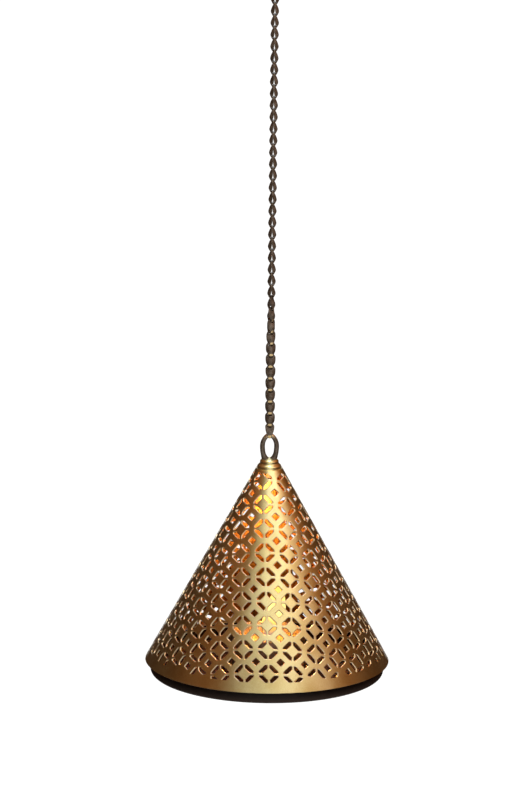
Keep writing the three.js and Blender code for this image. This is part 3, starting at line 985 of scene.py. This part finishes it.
glow = bpy.data.lights.new("flame_glow", "POINT")
glow.energy = flame_power
glow.color = (1.0, 0.46, 0.1)
glow.shadow_soft_size = flame_radius
glow_lamp = bpy.data.objects.new("flame_glow", glow)
glow_lamp.location = (wick_tip + flame_lean * glow_rise, 0, flame_foot + glow_rise)
glow_lamp.parent = gas
bpy.context.scene.collection.objects.link(glow_lamp)

# Studio
# A pale floor far below the lantern, and a dark tent round it that glows a dim brown for the brass to
# mirror.
# A key lamp in front and above draws the bright band, four weaker lamps fill round it, and a long lens
# looks from a little above the lantern.
scene = bpy.context.scene
scene.view_settings.view_transform = "Standard"
photo_width, photo_height = 522, 800
photo_scale = 0.4904 * mm
camera_elevation = math.radians(16.2)
camera_roll = math.radians(0.7)
camera_distance = 6.0
axis_column, mouth_row = 270.1, 659
floor_drop = 0.45
floor_half = 8
tent_radius = 0.55
tent_lift = 0.02
tent_top = 1.0
tent_dark_rise = 0.15
tent_light_rise = 0.53
tent_sides = 64
tent_opening = math.radians(17)
lamp_aim = 50 * mm


def seen(start):
    """1 for what is looked at straight, in a mirror or through glass, and 0 for what only lights."""
    kinds = ("Camera", "Glossy", "Transmission")
    rays = [start.node("ShaderNodeLightPath", out=f"Is {kind} Ray") for kind in kinds]
    return start.maths("MAXIMUM", rays[0], start.maths("MAXIMUM", rays[1], rays[2]))


world = bpy.data.worlds.new("studio")
scene.world = world
world.use_nodes = True
world.node_tree.nodes.clear()
start = Socket(world.node_tree)
fill = start.node("ShaderNodeBackground", None, {"Color": (1.0, 0.97, 0.93, 1), "Strength": 0.55})
white = start.node("ShaderNodeBackground", None, {"Color": (1, 1, 1, 1), "Strength": 1.0})
sky = start.node("ShaderNodeMixShader", None, {0: seen(start), 1: fill, 2: white})
start.node("ShaderNodeOutputWorld", None, {"Surface": sky})


def stage_piece(name, form, material):
    """Sets up a mesh as a part of the studio."""
    mesh = bpy.data.meshes.new(name)
    form.to_mesh(mesh)
    form.free()
    mesh.materials.append(material)
    made = bpy.data.objects.new(name, mesh)
    scene.collection.objects.link(made)
    return made


floor_paint, start = new_finish("floor_paint")
matt = start.node("ShaderNodeBsdfDiffuse", None, {"Color": (0.8, 0.79, 0.78, 1)})
shadowed = start.node("ShaderNodeBsdfDiffuse", None, {"Color": (0.3, 0.3, 0.3, 1)})
lit = start.node("ShaderNodeEmission", None, {"Color": (1, 1, 1, 1), "Strength": 0.93})
shown = start.node("ShaderNodeAddShader", None, {0: shadowed, 1: lit})
paint = start.node("ShaderNodeMixShader", None, {0: seen(start), 1: matt, 2: shown})
start.node("ShaderNodeOutputMaterial", None, {"Surface": paint})
floor = bmesh.new()
floor_place = Matrix.Translation((0, 0, pan_bottom - floor_drop))
bmesh.ops.create_grid(floor, x_segments=1, y_segments=1, size=floor_half, matrix=floor_place)
stage_piece("floor", floor, floor_paint)

glowing_tent, start = new_finish("glowing_tent")
place = start.node("ShaderNodeTexCoord", out="Object")
across, along, up = (
    start.node("ShaderNodeSeparateXYZ", None, {"Vector": place}, out=axis) for axis in "XYZ"
)
rise = up.between(mouth + tent_dark_rise, mouth + tent_light_rise)
right = across.between(-0.5 * tent_radius, 0.5 * tent_radius)
front = 1 - along.between(-0.3 * tent_radius, 0.9 * tent_radius)
ahead = 1 - along.between(-tent_radius, -0.55 * tent_radius)
# The tent glows as a dim brown lamp: brighter high up, to the right and towards the camera's side, and
# dimmed where it lies straight ahead.
light = (0.1 + 0.9 * rise) * (0.42 + 0.68 * right) * (0.35 + 0.65 * front) * (1 - 0.7 * ahead)
surface(
    start,
    Base_Color=(0.05, 0.03, 0.02, 1),
    Roughness=0.9,
    Emission_Color=light.tint((0.01, 0.005, 0.003), (0.52, 0.13, 0.015)),
    Emission_Strength=1.0,
)
tent = bmesh.new()
low = tent.verts.new((0, tent_radius, pan_bottom - floor_drop + tent_lift))
high = tent.verts.new((0, tent_radius, tent_top))
bmesh.ops.rotate(tent, verts=tent.verts, cent=(0, 0, 0), matrix=Matrix.Rotation(tent_opening, 3, "Z"))
wall = tent.edges.new((low, high))
bmesh.ops.spin(
    tent,
    geom=[low, high, wall],
    cent=(0, 0, 0),
    axis=(0, 0, 1),
    angle=2 * math.pi - 2 * tent_opening,
    steps=tent_sides,
)
tent_piece = stage_piece("tent", tent, glowing_tent)
tent_piece.visible_camera = False


def softbox(name, azimuth, elevation, distance, size, power, colour):
    """A round lamp that faces the lantern. Azimuth 0 is the camera's side, and 90 is to its right."""
    lamp = bpy.data.lights.new(name, "AREA")
    lamp.shape = "DISK"
    lamp.size = size
    lamp.energy = power
    lamp.color = colour
    made = bpy.data.objects.new(name, lamp)
    made.visible_camera = False
    around, up = math.radians(azimuth), math.radians(elevation)
    away = Vector((math.sin(around) * math.cos(up), -math.cos(around) * math.cos(up), math.sin(up)))
    made.location = Vector((0, 0, shade_low.z + lamp_aim)) + away * distance
    made.rotation_euler = away.to_track_quat("Z", "Y").to_euler()
    scene.collection.objects.link(made)


# Azimuth and elevation in degrees, distance and size in metres, power in watts, and colour
softbox("key", 20, 47, 0.34, 0.28, 0.25, (1.0, 0.98, 0.95))
softbox("low_left", -18, 34, 0.34, 0.16, 0.035, (1.0, 0.98, 0.95))
softbox("side_fill", 58, 40, 0.5, 0.3, 0.12, (1.0, 0.96, 0.9))
softbox("front_fill", 6, -16, 0.5, 0.6, 0.9, (1.0, 0.98, 0.96))
softbox("top", 0, 84, 0.55, 0.14, 0.45, (1.0, 0.95, 0.84))

camera = bpy.data.cameras.new("camera")
viewer = bpy.data.objects.new("camera", camera)
back = Vector((0, -math.cos(camera_elevation), math.sin(camera_elevation)))
aim_side = (photo_width / 2 - axis_column) * photo_scale
aim_rise = (mouth_row - photo_height / 2) * photo_scale / math.cos(camera_elevation)
aim = Vector((aim_side, 0, mouth + aim_rise))
viewer.location = Vector((aim_side, 0, mouth)) + back * camera_distance
camera.lens = camera.sensor_width * (viewer.location - aim).length / (photo_height * photo_scale)
sight = (viewer.location - aim).to_track_quat("Z", "Y").to_matrix()
viewer.rotation_euler = (sight @ Matrix.Rotation(camera_roll, 3, "Z")).to_euler()
scene.collection.objects.link(viewer)
scene.camera = viewer
